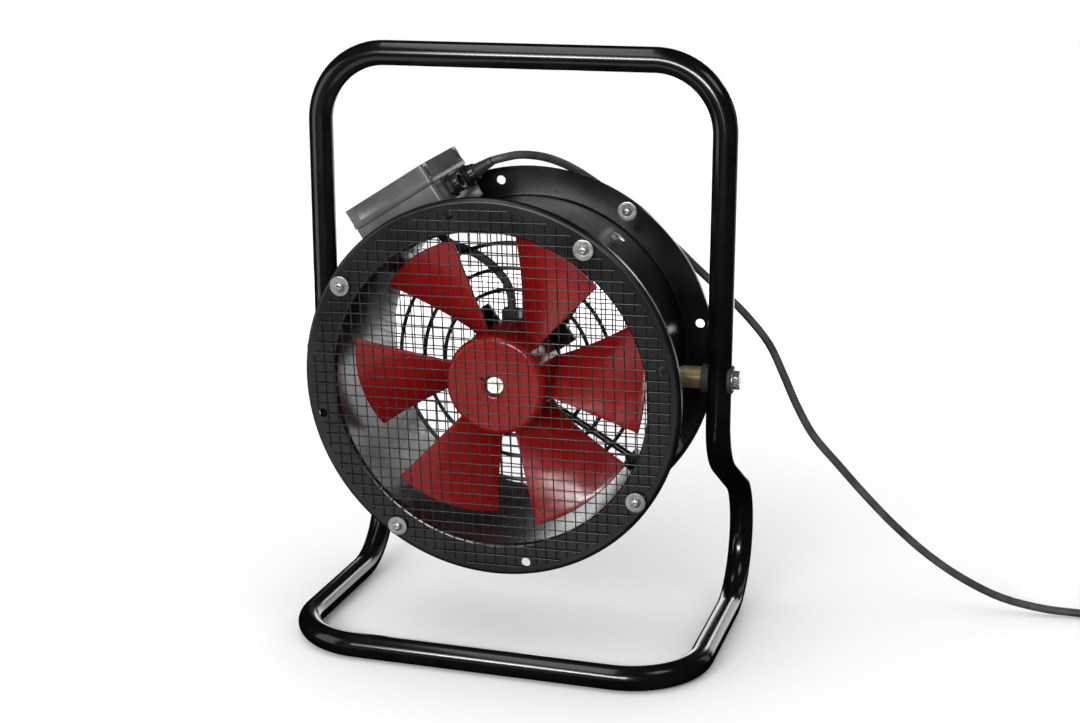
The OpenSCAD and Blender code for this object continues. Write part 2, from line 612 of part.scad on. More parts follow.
// Seven turns lie in rows of two, three and two; the solid is their outline.
module coil_outline() {
    low = coil_lift;
    top = coil_lift + cord_d * (1 + sqrt(3));
    mid = (low + top) / 2;
    polygon([[coil_r - cord_d, low], [coil_r + cord_d, low], [coil_r + 1.5 * cord_d, mid - 3],
        [coil_r + 1.5 * cord_d, mid + 3], [coil_r + cord_d, top], [coil_r - cord_d, top],
        [coil_r - 1.5 * cord_d, mid + 3], [coil_r - 1.5 * cord_d, mid - 3]]);
}
module cord_coil() color("#161617") translate([coil_at[0], coil_at[1], 0]) rotate_extrude() coil_outline();
module cord_tie() color("#0c0c0c") translate([coil_at[0], coil_at[1], 0]) difference() {
    translate([-6, coil_r - 1.5 * cord_d - 1.4, 0.1]) cube([12, 3 * cord_d + 2.8, coil_lift + 2.733 * cord_d + 1.3]);
    rotate_extrude() coil_outline();
}
plug_at = [coil_at[0] + coil_r + cord_d / 2, coil_at[1] + 36, 19.2];
module power_plug() color("#0f0f10") translate(plug_at) rotate([-90, 0, 0]) {
    cylinder(r1 = 6, r2 = 9, h = 12);
    translate([0, 0, 12]) cylinder(r1 = 13, r2 = 18.5, h = 14);
    translate([0, 0, 26]) cylinder(r = 18.5, h = 14);
    for (x = [-9.5, 9.5]) translate([x, 0, 40]) cylinder(r = 2.4, h = 19);
}

stand_hoop();
stand_legs();
stand_heels();
stand_base();
tube_spigots();
pivot_bolts();
pivot_nuts();
pivot_collars();
pivot_sleeves();
rubber_washers();
pivot_washers();
duct();
front_flange();
rear_flange();
blank_label();
front_guard();
rear_guard();
guard_washers();
guard_screws();
guard_nuts();
support_feet();
support_bolts();
support_arms();
support_rings();
motor_plate();
motor_base();
motor_screws();
motor_cable_clamp();
stator_core();
stator_windings();
bearings();
rotor_shaft();
rotor_can();
rotor_ring();
shaft_ring();
impeller_hub();
blade(1);  // blade_1
blade(2);  // blade_2
blade(3);  // blade_3
blade(4);  // blade_4
blade(5);  // blade_5
blade(6);  // blade_6
box_saddle();
box_screws();
box_base();
box_gasket();
box_lid();
lid_screws();
terminal_block();
capacitor();
cable_glands();
gland_nuts();
cable_grommet();
motor_cable();
cord_boot();
cord_upper();
cord_lower();
cord_coil();
cord_tie();
power_plug();
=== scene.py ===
import math

import bpy
from mathutils import Matrix, Vector


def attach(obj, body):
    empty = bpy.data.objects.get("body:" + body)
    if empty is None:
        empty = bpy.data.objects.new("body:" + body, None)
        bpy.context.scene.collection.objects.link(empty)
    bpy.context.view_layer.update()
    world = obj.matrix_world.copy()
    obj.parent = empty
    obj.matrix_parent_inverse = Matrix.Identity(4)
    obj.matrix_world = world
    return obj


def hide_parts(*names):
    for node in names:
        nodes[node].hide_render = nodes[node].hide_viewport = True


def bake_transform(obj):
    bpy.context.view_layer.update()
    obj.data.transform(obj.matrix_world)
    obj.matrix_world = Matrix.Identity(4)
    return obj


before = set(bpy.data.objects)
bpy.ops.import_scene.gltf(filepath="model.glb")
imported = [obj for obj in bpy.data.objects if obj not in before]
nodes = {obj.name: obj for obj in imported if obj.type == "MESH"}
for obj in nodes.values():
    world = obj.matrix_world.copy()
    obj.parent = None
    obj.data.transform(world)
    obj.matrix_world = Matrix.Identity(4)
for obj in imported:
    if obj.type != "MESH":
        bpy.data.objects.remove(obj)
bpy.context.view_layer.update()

# Studio: a round pale floor with painted shade that darkens it a little towards the stand, a white backdrop,
# a long light overhead, a broad one in front, small ones that each put a highlight on the tube, the blades or
# the duct, low ones behind, and a camera that looks down from the right.
camera_place = Vector((0.53968, -1.71112, 0.7528))
camera_target = Vector((0.02373, -0.00939, 0.2888))
camera_data = bpy.data.cameras.new("camera")
camera_data.lens = 60.45
camera_data.sensor_width = 36
camera_data.clip_end = 50
camera = bpy.data.objects.new("camera", camera_data)
bpy.context.scene.collection.objects.link(camera)
camera.location = camera_place
camera.rotation_euler = (camera_target - camera_place).to_track_quat("-Z", "Y").to_euler()
bpy.context.scene.camera = camera

bpy.context.scene.view_settings.view_transform = "Standard"
world = bpy.data.worlds.new("studio")
world.use_nodes = True
bpy.context.scene.world = world
world_light = world.node_tree.nodes["Background"]
world_light.inputs["Color"].default_value = (1, 1, 1, 1)
world_light.inputs["Strength"].default_value = 1.07
world.cycles_visibility.glossy = False


def area_light(name, place, aim, width, height, power):
    data = bpy.data.lights.new(name, "AREA")
    data.shape = "RECTANGLE"
    data.size = width
    data.size_y = height
    data.energy = power
    light = bpy.data.objects.new(name, data)
    bpy.context.scene.collection.objects.link(light)
    light.location = place
    light.rotation_euler = (Vector(aim) - Vector(place)).to_track_quat("-Z", "Y").to_euler()
    light.visible_camera = False


# Each light: its place, the point it faces, width and height in metres, power in watts
area_light("overhead_strip", (-0.42, -0.75, 1.9), (-0.42, -0.74, 0), 0.55, 2.2, 10)
area_light("front_key", (-0.15, -2.2, 0.93), (0, 0, 0.3), 1.4, 0.3, 44)
area_light("high_front", (-0.74, -2.2, 1.12), (0, 0, 0.3), 0.45, 0.8, 6.5)
area_light("left_panel", (-1.0, -0.6, 0.45), (0, 0, 0.35), 0.6, 0.9, 2.5)
area_light("front_fill", (0.2, -3.0, 0.9), (0, 0, 0.3), 3, 2, 2)
area_light("upper_right", (1.2, -0.5, 1.6), (0, 0, 0.4), 0.6, 0.6, 3)
area_light("floor_glow", (-0.35, -0.62, 0.004), (-0.35, -0.619, 1), 0.9, 0.7, 1.5)
area_light("rear_low", (0.3, 1.6, 0.15), (0, 0, 0.3), 1.6, 0.8, 11)
area_light("rear_left", (-0.75, 1.7, 0.24), (0, 0, 0.2), 0.62, 0.5, 3)
area_light("right_strip", (0.42, -2.2, 0.8), (0.2, 0, 0.4), 0.12, 1.0, 2.2)
area_light("right_rim", (1.6, 1.3, 0.5), (0, 0, 0.4), 0.35, 1.3, 1)
area_light("rear_top", (0.72, 2.13, 1.02), (0, 0, 0.4), 0.5, 0.4, 4)

bpy.ops.object.select_all(action="DESELECT")
bpy.ops.mesh.primitive_circle_add(vertices=96, radius=30, fill_type="NGON", location=(0, 0, -0.0005))
floor = bpy.context.object
floor.name = "floor"
floor.visible_glossy = False
floor_white = bpy.data.materials.new("floor_white")
floor_white.use_nodes = True
floor_surface = floor_white.node_tree.nodes["Principled BSDF"]
floor_place = floor_white.node_tree.nodes.new("ShaderNodeTexCoord")
floor_scale = floor_white.node_tree.nodes.new("ShaderNodeMapping")
floor_scale.inputs["Scale"].default_value = (0.4, 0.4, 0.4)
# Painted shade: the floor's colour falls from 0.96 far out to 0.6 round the stand, to deepen the shadow under
# it.
floor_gradient = floor_white.node_tree.nodes.new("ShaderNodeTexGradient")
floor_gradient.gradient_type = "SPHERICAL"
floor_painted_shade = floor_white.node_tree.nodes.new("ShaderNodeValToRGB")
floor_painted_shade.color_ramp.elements[0].color = (0.96, 0.96, 0.96, 1)
floor_painted_shade.color_ramp.elements[1].color = (0.6, 0.6, 0.6, 1)
floor_painted_shade.color_ramp.elements[1].position = 0.9
floor_links = floor_white.node_tree.links
floor_links.new(floor_place.outputs["Object"], floor_scale.inputs["Vector"])
floor_links.new(floor_scale.outputs["Vector"], floor_gradient.inputs["Vector"])
floor_links.new(floor_gradient.outputs["Fac"], floor_painted_shade.inputs["Fac"])
floor_links.new(floor_painted_shade.outputs["Color"], floor_surface.inputs["Base Color"])
floor_surface.inputs["Roughness"].default_value = 0.9
floor_surface.inputs["Specular IOR Level"].default_value = 0.1
floor.data.materials.append(floor_white)

# Duct frame: X across, Y up, Z along the airflow, its origin on the pivot axis. The box frame turns it
# so that Y runs out from the duct axis through the terminal box.
pivot_y = -0.00939
pivot_height = 0.285
rest_tilt = math.radians(3)
box_angle = 122.2
duct_frame = (Matrix.Translation((0, pivot_y, pivot_height))
              @ Matrix.Rotation(math.radians(90) + rest_tilt, 4, "X"))
box_frame = duct_frame @ Matrix.Rotation(math.radians(box_angle - 90), 4, "Z")


# Power cord: one 8.5 mm round rubber cord, 2.9 m long. It leaves the terminal box, bends over the rear
# flange and falls to the floor on the right; the rest is wound into a tied coil of seven turns.
def smooth_line(points, steps):
    line = []
    last = len(points) - 1
    for i in range(last):
        a, b = Vector(points[max(i - 1, 0)]), Vector(points[i])
        c, d = Vector(points[i + 1]), Vector(points[min(i + 2, last)])
        for k in range(steps):
            t = k / steps
            line.append(0.5 * (2 * b + (c - a) * t + (2 * a - 5 * b + 4 * c - d) * t ** 2
                               + (3 * b - a - 3 * c + d) * t ** 3))
    line.append(Vector(points[-1]))
    return line


def round_tube(name, line, diameter, material):
    curve = bpy.data.curves.new(name, "CURVE")
    curve.dimensions = "3D"
    curve.bevel_depth = diameter / 2
    curve.bevel_resolution = 5
    curve.use_fill_caps = True
    spline = curve.splines.new("POLY")
    spline.points.add(len(line) - 1)
    for point, place in zip(spline.points, line):
        point.co = (*place, 1)
    tube = bpy.data.objects.new(name, curve)
    bpy.context.scene.collection.objects.link(tube)
    bpy.ops.object.select_all(action="DESELECT")
    tube.select_set(True)
    bpy.context.view_layer.objects.active = tube
    bpy.ops.object.convert(target="MESH")
    bpy.ops.object.shade_smooth()
    tube.data.materials.clear()
    tube.data.materials.append(material)
    return tube


def new_material(name, colour, roughness, metallic=0.0):
    material = bpy.data.materials.new(name)
    material.use_nodes = True
    surface = material.node_tree.nodes["Principled BSDF"]
    surface.inputs["Base Color"].default_value = (*colour, 1)
    surface.inputs["Roughness"].default_value = roughness
    surface.inputs["Metallic"].default_value = metallic
    return material


def add_noise(material, scale, detail=3.0, stretch=(1, 1, 1)):
    tree = material.node_tree
    place = tree.nodes.new("ShaderNodeTexCoord")
    mapping = tree.nodes.new("ShaderNodeMapping")
    mapping.inputs["Scale"].default_value = stretch
    noise = tree.nodes.new("ShaderNodeTexNoise")
    noise.inputs["Scale"].default_value = scale
    noise.inputs["Detail"].default_value = detail
    tree.links.new(place.outputs["Object"], mapping.inputs["Vector"])
    tree.links.new(mapping.outputs["Vector"], noise.inputs["Vector"])
    return noise.outputs["Fac"]


def add_bump(material, height, strength, distance):
    tree = material.node_tree
    bump = tree.nodes.new("ShaderNodeBump")
    bump.inputs["Strength"].default_value = strength
    bump.inputs["Distance"].default_value = distance
    tree.links.new(height, bump.inputs["Height"])
    tree.links.new(bump.outputs["Normal"], tree.nodes["Principled BSDF"].inputs["Normal"])


def vary(material, factor, socket, low, high, start=0.35, end=0.65):
    tree = material.node_tree
    ramp = tree.nodes.new("ShaderNodeValToRGB")
    low = low if isinstance(low, tuple) else (low,) * 3
    high = high if isinstance(high, tuple) else (high,) * 3
    ramp.color_ramp.elements[0].position = start
    ramp.color_ramp.elements[0].color = (*low, 1)
    ramp.color_ramp.elements[1].position = end
    ramp.color_ramp.elements[1].color = (*high, 1)
    tree.links.new(factor, ramp.inputs["Fac"])
    tree.links.new(ramp.outputs["Color"], tree.nodes["Principled BSDF"].inputs[socket])


cord_rubber = new_material("cord_rubber", (0.03, 0.03, 0.031), 0.5)
vary(cord_rubber, add_noise(cord_rubber, 60), "Base Color", (0.022, 0.022, 0.023), (0.04, 0.04, 0.041))
vary(cord_rubber, add_noise(cord_rubber, 150), "Roughness", 0.42, 0.58)
add_bump(cord_rubber, add_noise(cord_rubber, 1400, 2), 0.25, 0.0003)

cord_diameter = 0.0085
cord_route = [(-0.0305, 0.005, 0.489), (-0.020, 0.007, 0.492), (-0.006, 0.019, 0.494), (0.009, 0.041, 0.490),
              (0.022, 0.063, 0.482), (0.036, 0.088, 0.469), (0.058, 0.108, 0.449), (0.090, 0.118, 0.423),
              (0.124, 0.117, 0.398), (0.154, 0.110, 0.374), (0.172, 0.106, 0.360), (0.188, 0.105, 0.347),
              (0.213, 0.105, 0.324), (0.237, 0.107, 0.295), (0.253, 0.110, 0.262), (0.267, 0.115, 0.229),
              (0.285, 0.120, 0.196), (0.312, 0.126, 0.164), (0.340, 0.132, 0.132), (0.372, 0.140, 0.098),
              (0.408, 0.150, 0.065), (0.446, 0.160, 0.038), (0.486, 0.169, 0.018), (0.528, 0.176, 0.008),
              (0.562, 0.180, 0.0055), (0.600, 0.180, 0.0055)]
coil_centre = Vector((0.640, 0.22925, 0))
coil_radius = 0.045
floor_gap = 0.0012
coil_low = floor_gap + cord_diameter / 2
coil_rise = cord_diameter * math.sqrt(3) / 2
# Rows of two, three and two turns: each turn's distance from the middle one and its row, in winding order
coil_turns = [(0.5, 0), (-0.5, 0), (-1, 1), (0, 1), (1, 1), (0.5, 2), (-0.5, 2)]
coil_steps = 24
# The last fifth of each turn moves over to the next one
crossing_from = 0.8
crossing_share = 0.2
coil_start = math.radians(-90)
coil_line = []
for turn, (offset, row) in enumerate(coil_turns):
    following = coil_turns[min(turn + 1, len(coil_turns) - 1)]
    for step in range(coil_steps):
        share = step / coil_steps
        change = max(0.0, (share - crossing_from) / crossing_share)
        change = change * change * (3 - 2 * change)
        turn_offset = offset + (following[0] - offset) * change
        turn_row = row + (following[1] - row) * change
        angle = coil_start + 2 * math.pi * share
        turn_radius = coil_radius + turn_offset * cord_diameter
        coil_line.append(coil_centre + Vector((turn_radius * math.cos(angle), turn_radius * math.sin(angle),
                                               coil_low + turn_row * coil_rise)))
cord_line = smooth_line(cord_route, 4) + coil_line
cord = round_tube("power_cord", cord_line, cord_diameter, cord_rubber)
plug_rubber = new_material("plug_rubber", (0.02, 0.02, 0.02), 0.45)
add_bump(plug_rubber, add_noise(plug_rubber, 900, 2), 0.3, 0.0003)
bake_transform(cord)
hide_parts("cord_upper", "cord_lower", "cord_coil")

# The cord's far end: a moulded two-pin plug with a ribbed neck, its grip pressed flatter on two sides, and a
# rubber strap round the coil.
axis_radius = 0.004
merge_distance = 0.00001
smooth_angle = math.radians(35)


# A turned piece: a ring of points at each radius and height, from the first to the last, in millimetres
# along its own Z axis. A radius of zero closes it on the axis; ending on the first ring closes the loop.
def turned(name, rings, segments=48):
    first_radius, first_height = rings[0][0] or axis_radius, rings[0][1]
    bpy.ops.object.select_all(action="DESELECT")
    bpy.ops.mesh.primitive_circle_add(vertices=segments, radius=first_radius / 1000)
    piece = bpy.context.object
    piece.name = name
    bpy.ops.object.mode_set(mode="EDIT")
    bpy.ops.mesh.select_all(action="SELECT")
    bpy.ops.transform.translate(value=(0, 0, first_height / 1000))
    radius, height = first_radius, first_height
    for next_radius, next_height in rings[1:]:
        next_radius = next_radius or axis_radius
        growth = next_radius / radius
        bpy.ops.mesh.extrude_region_move(
            TRANSFORM_OT_translate={"value": (0, 0, (next_height - height) / 1000)})
        bpy.ops.transform.resize(value=(growth, growth, 1), center_override=(0, 0, 0))
        radius, height = next_radius, next_height
    bpy.ops.mesh.select_all(action="SELECT")
    bpy.ops.mesh.remove_doubles(threshold=merge_distance)
    bpy.ops.mesh.normals_make_consistent(inside=False)
    bpy.ops.object.mode_set(mode="OBJECT")
    bpy.ops.object.shade_smooth_by_angle(angle=smooth_angle)
    return piece


# Copies of finished pieces, each moved by its own matrix, joined to one piece of one material
def join_copies(name, places, material):
    parts = []
    for master, matrix in places:
        part = bpy.data.objects.new(name, master.data.copy())
        bpy.context.scene.collection.objects.link(part)
        part.data.transform(matrix)
        parts.append(part)
    for master in {master for master, matrix in places}:
        bpy.data.objects.remove(master)
    bpy.ops.object.select_all(action="DESELECT")
    for part in parts:
        part.select_set(True)
    bpy.context.view_layer.objects.active = parts[0]
    bpy.ops.object.join()
    joined = bpy.context.object
    joined.name = name
    joined.data.materials.clear()
    joined.data.materials.append(material)
    return joined


pin_metal = new_material("pin_metal", (0.7, 0.68, 0.62), 0.3, 1.0)
vary(pin_metal, add_noise(pin_metal, 300), "Roughness", 0.25, 0.4)
plug_rings = [(0, 0), (5.9, 0), (6.3, 0.5), (6.3, 2), (5.5, 2.4), (5.5, 3.4), (6.9, 3.8), (7.0, 5.8),
              (6.2, 6.2), (6.2, 7.2), (7.7, 7.6), (8.1, 9.8), (8.5, 12), (12.4, 12.5), (13.2, 13.6),
              (15.3, 18), (17.2, 22.6), (18.2, 25.4), (18.5, 27), (18.5, 38.8), (18.1, 39.7), (17.3, 40),
              (15.8, 40), (15.5, 38.9), (0, 38.9)]
plug = turned("plug_body", plug_rings, 64)
neck_length = 0.013
flat_from = 0.0162
flattening = 0.4
for v in plug.data.vertices:
    if v.co.z > neck_length and abs(v.co.x) > flat_from:
        v.co.x = math.copysign(flat_from + (abs(v.co.x) - flat_from) * flattening, v.co.x)
pin = turned("plug_pin", [(0, 38.5), (2.4, 38.5), (2.4, 57), (2.1, 58.3), (1.2, 58.9), (0, 59)], 24)
plug_place = Matrix.Translation((0.68925, 0.26525, 0.0192)) @ Matrix.Rotation(math.radians(-90), 4, "X")
plug.data.transform(plug_place)
plug.data.materials.append(plug_rubber)
pin_offset = 0.0095
pin_places = [plug_place @ Matrix.Translation((x, 0, 0)) for x in (-pin_offset, pin_offset)]
pins = join_copies("plug_pins", [(pin, place) for place in pin_places], pin_metal)
tie_rings = [(12.8, -5.6), (13.6, -6), (13.9, -5.4), (13.9, 5.4), (13.6, 6), (12.8, 5.6), (12.8, -5.6)]
tie = turned("coil_tie", tie_rings)
tie.data.transform(Matrix.Translation((0.64, 0.27425, 0.01281)) @ Matrix.Rotation(math.radians(90), 4, "Y"))
tie_lowest = 0.0003
for v in tie.data.vertices:
    v.co.z = max(v.co.z, tie_lowest)
tie.data.materials.append(plug_rubber)
for piece, node, slot_name in ((plug, "power_plug", "black_plastic"), (tie, "cord_tie", "black_plastic")):
    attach(piece, "stand")
    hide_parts(node)
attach(pins, "stand")

# Stand: one 25 mm steel tube bent into hoop, legs and floor rails, welded shut, with a black powder coat
# that has a very fine orange peel and a slightly uneven gloss.
satin_black = new_material("satin_black", (0.0022, 0.0022, 0.0023), 0.2)
vary(satin_black, add_noise(satin_black, 9), "Roughness", 0.13, 0.18)
vary(satin_black, add_noise(satin_black, 30), "Base Color", (0.0015, 0.0015, 0.0016), (0.003, 0.003, 0.0031))
add_bump(satin_black, add_noise(satin_black, 700, 2), 0.12, 0.0002)


def coat_nodes(names, material):
    for name in names:
        for place in nodes[name].material_slots:
            place.material = material


coat_nodes(["stand_hoop", "stand_legs", "stand_heels", "stand_base"], satin_black)

# Pivots: zinc plated M10 bolts through the uprights, yellow zinc sleeves, and black rubber washers that grip
# the tube so that the duct stays at the tilt it is given.
zinc = new_material("zinc", (0.62, 0.62, 0.6), 0.3, 0.85)
vary(zinc, add_noise(zinc, 220), "Roughness", 0.22, 0.42)
vary(zinc, add_noise(zinc, 90), "Base Color", (0.26, 0.26, 0.25), (0.38, 0.38, 0.365))
yellow_zinc = new_material("yellow_zinc", (0.25, 0.19, 0.1), 0.4, 0.6)
vary(yellow_zinc, add_noise(yellow_zinc, 120), "Base Color", (0.16, 0.112, 0.05), (0.24, 0.18, 0.1))
washer_rubber = new_material("washer_rubber", (0.015, 0.015, 0.015), 0.7)
add_bump(washer_rubber, add_noise(washer_rubber, 800, 2), 0.3, 0.0003)
coat_nodes(["pivot_nuts", "pivot_collars", "tube_spigots"], zinc)
coat_nodes(["pivot_sleeves"], yellow_zinc)
coat_nodes(["rubber_washers"], washer_rubber)


def round_edges(piece, width, segments, sharper_than):
    rounding = piece.modifiers.new("rounding", "BEVEL")
    rounding.width = width
    rounding.segments = segments
    rounding.limit_method = "ANGLE"
    rounding.angle_limit = math.radians(sharper_than)
    bpy.ops.object.modifier_apply(modifier=rounding.name)


# A copy of a CAD piece with its sharp edges rounded over, which takes that piece's place
def rounded_copy(name, node, body, material, width):
    bpy.ops.object.select_all(action="DESELECT")
    nodes[node].select_set(True)
    bpy.context.view_layer.objects.active = nodes[node]
    bpy.ops.object.duplicate()
    piece = bpy.context.object
    piece.name = name
    bpy.ops.object.mode_set(mode="EDIT")
    bpy.ops.mesh.select_all(action="SELECT")
    bpy.ops.mesh.remove_doubles(threshold=merge_distance)
    bpy.ops.mesh.dissolve_limited(angle_limit=math.radians(1))
    bpy.ops.object.mode_set(mode="OBJECT")
    round_edges(piece, width, 2, 40)
    bpy.ops.object.shade_smooth_by_angle(angle=smooth_angle)
    piece.data.materials.clear()
    piece.data.materials.append(material)
    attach(piece, body)
    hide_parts(node)


rounded_copy("pivot_bolt_pair", "pivot_bolts", "casing", zinc, 0.0007)
rounded_copy("pivot_washer_pair", "pivot_washers", "stand", zinc, 0.0003)

# Duct: 2 mm steel sheet rolled to a drum with both ends spun out to flanges whose rims turn back, and a label
# without print. The black coat is duller than the stand's and slightly cloudy.
duct_black = new_material("duct_black", (0.003, 0.003, 0.0031), 0.26)
vary(duct_black, add_noise(duct_black, 14), "Roughness", 0.22, 0.34)
vary(duct_black, add_noise(duct_black, 25), "Base Color", (0.002, 0.002, 0.0021), (0.0042, 0.0042, 0.0044))
add_bump(duct_black, add_noise(duct_black, 500, 2), 0.1, 0.0002)
coat_nodes(["duct", "front_flange", "rear_flange", "motor_plate"], duct_black)
label_black = new_material("label_black", (0.03, 0.03, 0.032), 0.45)
add_bump(label_black, add_noise(label_black, 300, 2), 0.05, 0.0001)
coat_nodes(["blank_label"], label_black)

# Guards: welded mesh of 1.2 mm wire at 10.6 mm pitch, black coated, cut round and clamped by four M5
# screws on 20 mm penny washers at each end.
mesh_black = new_material("mesh_black", (0.004, 0.004, 0.0042), 0.3)
vary(mesh_black, add_noise(mesh_black, 40), "Roughness", 0.22, 0.4)
coat_nodes(["front_guard", "rear_guard", "support_arms", "support_rings"], mesh_black)

bolt_circle_radius = 0.178
first_screw = 56.5
screw_places = [duct_frame @ Matrix.Rotation(math.radians(first_screw + 90 * i), 4, "Z")
                @ Matrix.Translation((bolt_circle_radius, 0, 0)) for i in range(4)]


# Where a fastener lies at each screw place, at heights in millimetres along the duct
def fastener_places(fastener, heights):
    return [(fastener, place @ Matrix.Translation((0, 0, height / 1000)))
            for place in screw_places for height in heights]


penny = turned("penny_washer", [(2.6, 0), (9.6, 0), (9.9, 0.12), (10, 0.4), (10, 1.1), (9.8, 1.45),
                                (9.4, 1.56), (2.9, 1.56), (2.65, 1.4), (2.6, 1.1), (2.6, 0)])
small = turned("small_washer", [(2.6, 0), (7.8, 0), (8, 0.2), (8, 1.05), (7.8, 1.25), (2.8, 1.25),
                                (2.6, 1.05), (2.6, 0)], 32)
washers = join_copies("guard_washer_set", fastener_places(penny, (99.46, -66.98, -73.04))
                      + fastener_places(small, (93.7,)), zinc)
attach(washers, "casing")
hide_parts("guard_washers")

dome_head = [(4.5, 0), (4.78, 0.25), (4.8, 0.7), (4.62, 1.3), (4.15, 1.95), (3.4, 2.5), (2.5, 2.85),
             (1.75, 2.98), (1.55, 2.85), (1.5, 1.3), (0, 1.2)]
screw = turned("guard_screw", [(0, -16.4), (2.0, -16.4), (2.45, -15.9), (2.45, 0)] + dome_head, 32)
screws = join_copies("guard_screw_set", fastener_places(screw, (101.06, -65.38)), zinc)
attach(screws, "casing")
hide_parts("guard_screws")

nut = turned("guard_nut", [(2.55, 0), (4.1, 0), (4.62, 0.45), (4.62, 3.7), (4.1, 4.16), (2.55, 4.16),
                           (2.55, 0)], 6)
nuts = join_copies("guard_nut_set", fastener_places(nut, (89.5, -77.24)), zinc)
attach(nuts, "casing")
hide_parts("guard_nuts")

# Motor support: four steel feet are bolted through the duct wall, and the rods and wire rings weld to them.
# The M8 bolts go in from outside and leave a length of shank in sight under the hexagon.
rounded_copy("wall_feet", "support_feet", "casing", duct_black, 0.001)
rounded_copy("wall_bolts", "support_bolts", "casing", zinc, 0.0006)
coat_nodes(["motor_screws"], zinc)

# Impeller hub: a glossy red moulded cup that covers the rotor, with a rounded front rim and a round hole with
# a key slot in the middle for the shaft end.
moulded_red = new_material("moulded_red", (0.165, 0.004, 0.003), 0.25)
moulded_red.node_tree.nodes["Principled BSDF"].inputs["Specular IOR Level"].default_value = 0.4
vary(moulded_red, add_noise(moulded_red, 18), "Base Color", (0.125, 0.002, 0.002), (0.16, 0.0035, 0.003))
vary(moulded_red, add_noise(moulded_red, 45), "Roughness", 0.15, 0.26)
add_bump(moulded_red, add_noise(moulded_red, 260, 3), 0.08, 0.0004)
hub_rings = [(47.3, 14), (49.6, 14), (50.3, 14.6), (50.9, 40), (51, 70)]
rim_steps = 8
rim_radius = 7
for step in range(1, rim_steps + 1):
    turn = math.radians(90 * step / rim_steps)
    hub_rings.append((44 + rim_radius * math.cos(turn), 70 + rim_radius * math.sin(turn)))
hub_rings += [(30, 77.3), (14, 77.4), (12, 77.2), (11.2, 76.6), (10.8, 75.6), (10.7, 73.1), (47.2, 73.05),
              (47.3, 72.6), (47.3, 14)]
hub = turned("red_hub", hub_rings, 96)
bpy.ops.object.select_all(action="DESELECT")
bpy.ops.mesh.primitive_cube_add(size=1)
key_slot = bpy.context.object
key_turn = math.radians(150)
key_size = (0.0065, 0.0032, 0.012)
key_slot.data.transform(Matrix.Rotation(key_turn, 4, "Z") @ Matrix.Translation((0.01225, 0, 0.073))
                        @ Matrix.Diagonal((*key_size, 1)))
cut = hub.modifiers.new("key_slot", "BOOLEAN")
cut.operation = "DIFFERENCE"
cut.object = key_slot
bpy.context.view_layer.objects.active = hub
bpy.ops.object.modifier_apply(modifier=cut.name)
bpy.data.objects.remove(key_slot)
hub.data.transform(duct_frame)
hub.data.materials.append(moulded_red)
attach(hub, "impeller")
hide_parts("impeller_hub")

# Impeller blades: six thin red blades moulded in one piece with the hub. Each twists flatter towards its
# tip and has softly rounded edges.
hub_radius = 0.051
tip_radius = 0.149
root_overlap = 0.0012
blade_start = math.radians(-14.3)
camber = 0.005
blade_thickness = 0.0026
blade_count = 6


# A point of a blade's middle surface: s runs from root to tip, u from the front edge to the rear edge
def blade_place(s, u):
    r = hub_radius - root_overlap + (tip_radius - hub_radius + root_overlap) * s
    span = math.radians(34 + 6 * s)
    lead_z = 0.055 + 0.020 * s
    drop = (0.012 + 0.026 * s) - lead_z
    run = span * r
    chord = math.hypot(run, drop)
    lift = camber * (4 * u * (1 - u) - 0.35)
    angle = blade_start + span * u - lift * drop / chord / r
    return Vector((r * math.cos(angle), r * math.sin(angle), lead_z + drop * u + lift * run / chord))


for number in range(blade_count):
    bpy.ops.object.select_all(action="DESELECT")
    bpy.ops.mesh.primitive_grid_add(x_subdivisions=20, y_subdivisions=24, size=1)
    blade = bpy.context.object
    blade.name = f"red_blade_{number + 1}"
    for v in blade.data.vertices:
        v.co = blade_place(v.co.x + 0.5, v.co.y + 0.5)
    thickness = blade.modifiers.new("thickness", "SOLIDIFY")
    thickness.thickness = blade_thickness
    thickness.offset = 0
    bpy.ops.object.modifier_apply(modifier=thickness.name)
    round_edges(blade, 0.0009, 3, 50)
    bpy.ops.object.mode_set(mode="EDIT")
    bpy.ops.mesh.select_all(action="SELECT")
    bpy.ops.mesh.normals_make_consistent(inside=False)
    bpy.ops.object.mode_set(mode="OBJECT")
    bpy.ops.object.shade_smooth_by_angle(angle=math.radians(40))
    blade.data.transform(duct_frame @ Matrix.Rotation(math.radians(360 / blade_count * number), 4, "Z"))
    blade.data.materials.clear()
    blade.data.materials.append(moulded_red)
    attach(blade, "impeller")
    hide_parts(f"blade_{number + 1}")

# Motor: an external rotor motor inside the hub. Its cast base is bolted to the plate, the shaft end shows
# creamy through the hub's hole, and the black cable runs down to it from the terminal box.
motor_casting = new_material("motor_casting", (0.09, 0.09, 0.095), 0.5, 0.4)
add_bump(motor_casting, add_noise(motor_casting, 350, 3), 0.3, 0.0004)
core_steel = new_material("core_steel", (0.3, 0.3, 0.31), 0.45, 1.0)
vary(core_steel, add_noise(core_steel, 900, 1, (0.05, 0.05, 1)), "Roughness", 0.35, 0.6)
copper = new_material("copper", (0.6, 0.25, 0.1), 0.35, 1.0)
add_bump(copper, add_noise(copper, 800, 1), 0.6, 0.0005)
rotor_paint = new_material("rotor_paint", (0.02, 0.006, 0.006), 0.5)
add_bump(rotor_paint, add_noise(rotor_paint, 300, 2), 0.2, 0.0003)
cream = new_material("cream", (0.72, 0.69, 0.6), 0.4)
vary(cream, add_noise(cream, 160), "Base Color", (0.6, 0.57, 0.48), (0.8, 0.77, 0.7))
coat_nodes(["motor_base"], motor_casting)
coat_nodes(["stator_core", "rotor_ring"], core_steel)
coat_nodes(["bearings"], zinc)
coat_nodes(["stator_windings"], copper)
coat_nodes(["rotor_can"], rotor_paint)
coat_nodes(["rotor_shaft", "shaft_ring", "terminal_block", "capacitor"], cream)
coat_nodes(["motor_cable"], cord_rubber)
